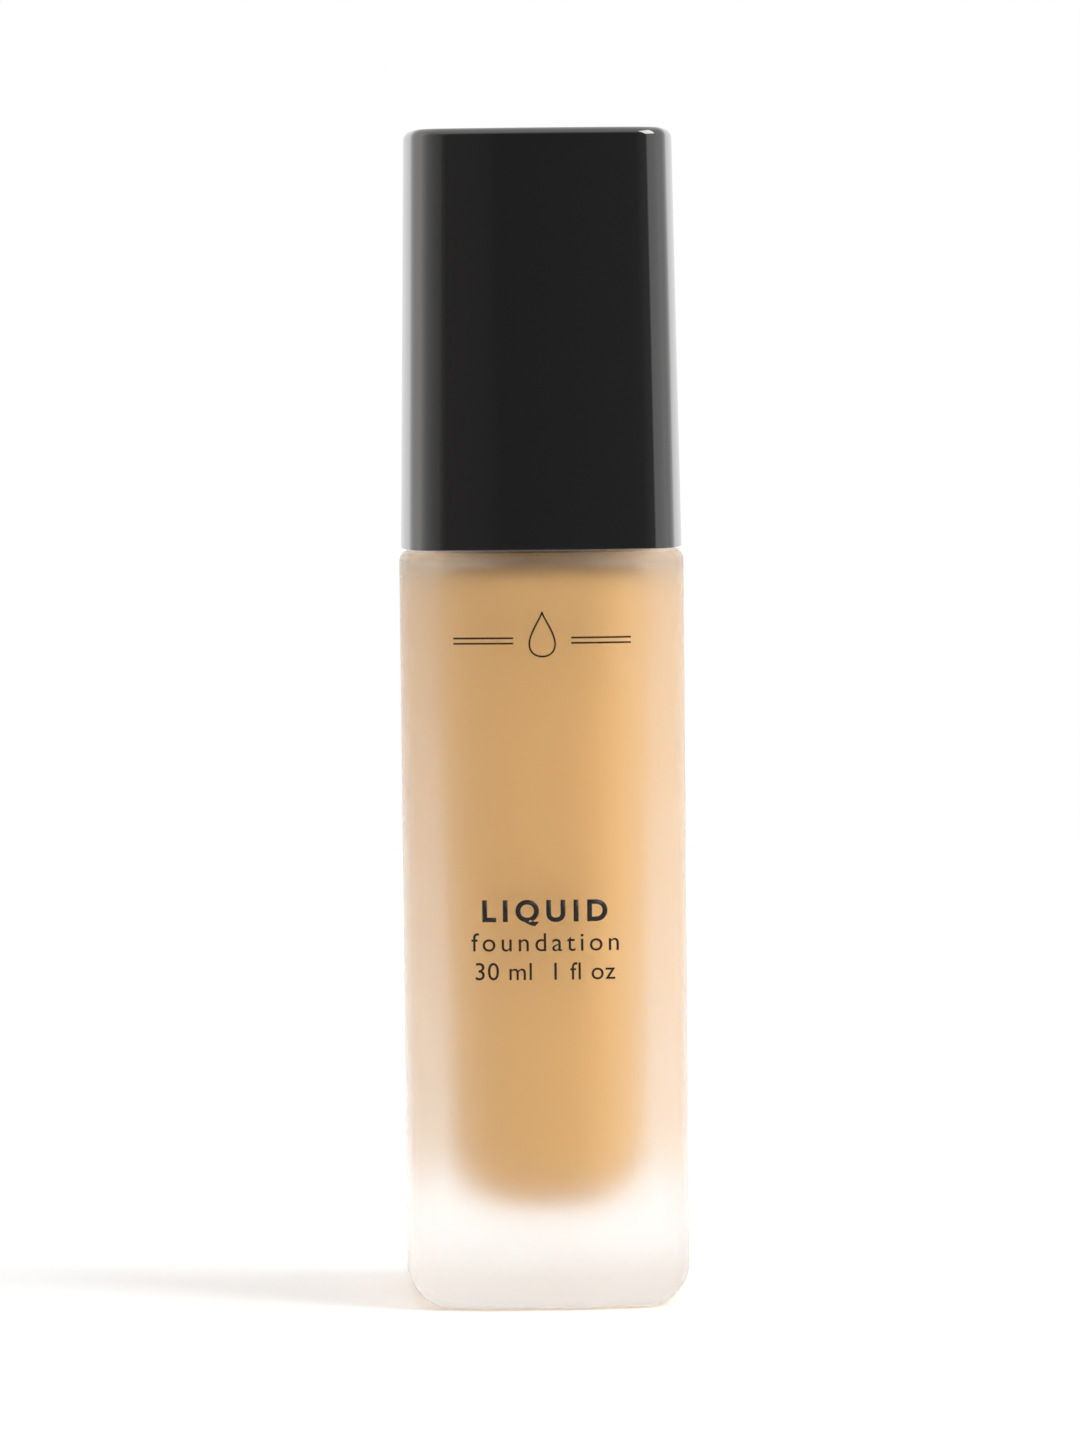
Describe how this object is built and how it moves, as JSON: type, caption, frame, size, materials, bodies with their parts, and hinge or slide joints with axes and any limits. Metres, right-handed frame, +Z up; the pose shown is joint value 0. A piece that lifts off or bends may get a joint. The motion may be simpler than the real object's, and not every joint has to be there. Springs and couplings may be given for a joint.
{
  "type": "foundation bottle",
  "caption": "Square frosted glass cosmetic bottle with bowed sides, a hidden press pump under a screw collar, and a tall glossy square overcap.",
  "frame": {"origin": "centre of the base, on the surface the bottle stands on", "axes": "+Z up along the bottle and the cap, -Y towards the printed front, where the spout also points at rest, +X to the right seen from the front"},
  "size_m": [0.03, 0.03, 0.123],
  "materials": {
    "frosted_glass": "acid-etched satin",
    "foundation_liquid": "opaque creamy liquid",
    "cap_black": "polished",
    "liner_plastic": "moulded",
    "closure_plastic": "moulded",
    "collar_black": "polished",
    "gasket_foam": "soft",
    "pump_plastic": "translucent, as moulded",
    "piston_plastic": "waxy",
    "spring_steel": "drawn wire",
    "ball_glass": "polished"
  },
  "bodies": {
    "bottle": {"glass_bottle": "frosted_glass", "foundation_fill": "foundation_liquid"},
    "cap": {"overcap_shell": "cap_black", "overcap_liner": "liner_plastic"},
    "pump": {"pump_housing": "pump_plastic", "neck_gasket": "gasket_foam", "dip_tube": "pump_plastic", "retainer_ring": "pump_plastic", "return_spring": "spring_steel"},
    "closure": {"screw_closure": "closure_plastic", "collar_sleeve": "collar_black"},
    "plunger": {"stem": "pump_plastic", "stem_plug": "pump_plastic"},
    "piston": {"piston": "piston_plastic"},
    "ball": {"inlet_ball": "ball_glass"},
    "actuator": {"actuator_core": "closure_plastic", "actuator_shell": "collar_black"}
  },
  "joints": [
    {"name": "cap_pull", "type": "slide", "parent": "bottle", "child": "cap", "axis": [0, 0, 1], "range_m": [0, 0.05]},
    {"name": "pump_rise", "type": "slide", "parent": "bottle", "child": "pump", "axis": [0, 0, 1], "range_m": [0, 0.00635]},
    {"name": "closure_turn", "type": "hinge", "parent": "pump", "child": "closure", "pos_m": [0, 0, 0.09], "axis": [0, 0, 1], "range_deg": [0, 720]},
    {"name": "pump_press", "type": "slide", "parent": "pump", "child": "plunger", "axis": [0, 0, 1], "range_m": [-0.0045, 0], "stiffness_N_per_m": 1400, "springref_m": 0.006, "deforming": ["return_spring"]},
    {"name": "actuator_swivel", "type": "hinge", "parent": "plunger", "child": "actuator", "pos_m": [0, 0, 0.105], "axis": [0, 0, 1], "continuous": true},
    {"name": "piston_slip", "type": "slide", "parent": "plunger", "child": "piston", "axis": [0, 0, 1], "range_m": [0, 0.0008]},
    {"name": "ball_lift", "type": "slide", "parent": "pump", "child": "ball", "axis": [0, 0, 1], "range_m": [0, 0.0008]}
  ],
  "couplings": [
    {"joint": "closure_turn", "follows": "pump_rise", "rad_per_m": 1979}
  ]
}
